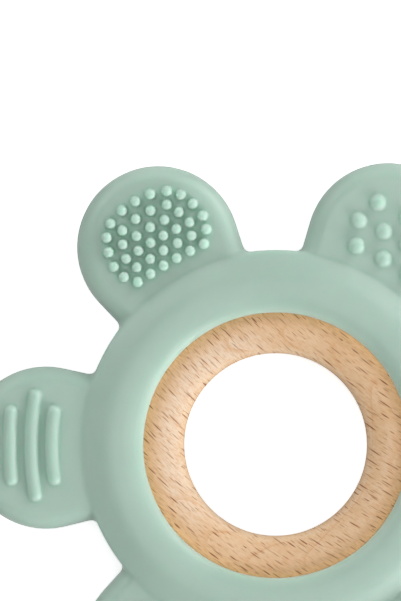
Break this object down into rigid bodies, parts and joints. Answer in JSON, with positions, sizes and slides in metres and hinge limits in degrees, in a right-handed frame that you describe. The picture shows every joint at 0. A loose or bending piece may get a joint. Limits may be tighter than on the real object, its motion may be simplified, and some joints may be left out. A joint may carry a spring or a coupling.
{
  "type": "teething ring",
  "caption": "Teething ring: a beech ring that turns in the groove of a soft silicone flower with textured petals.",
  "frame": {"origin": "centre of the beech ring's hole, at mid thickness", "axes": "+Z along the ring's axis, up when the toy lies flat; +X through the middle of a ridged petal"},
  "size_m": [0.119, 0.1074, 0.014],
  "materials": {
    "silicone": "soft matte food-grade silicone, pale mint",
    "beech": "bare sanded beech with short dark ray flecks"
  },
  "bodies": {
    "flower": {"silicone_body": "silicone"},
    "ring": {"beech_ring": "beech"}
  },
  "joints": [
    {"name": "ring_turn", "type": "hinge", "parent": "flower", "child": "ring", "pos_m": [0, 0, 0], "axis": [0, 0, 1], "continuous": true}
  ]
}
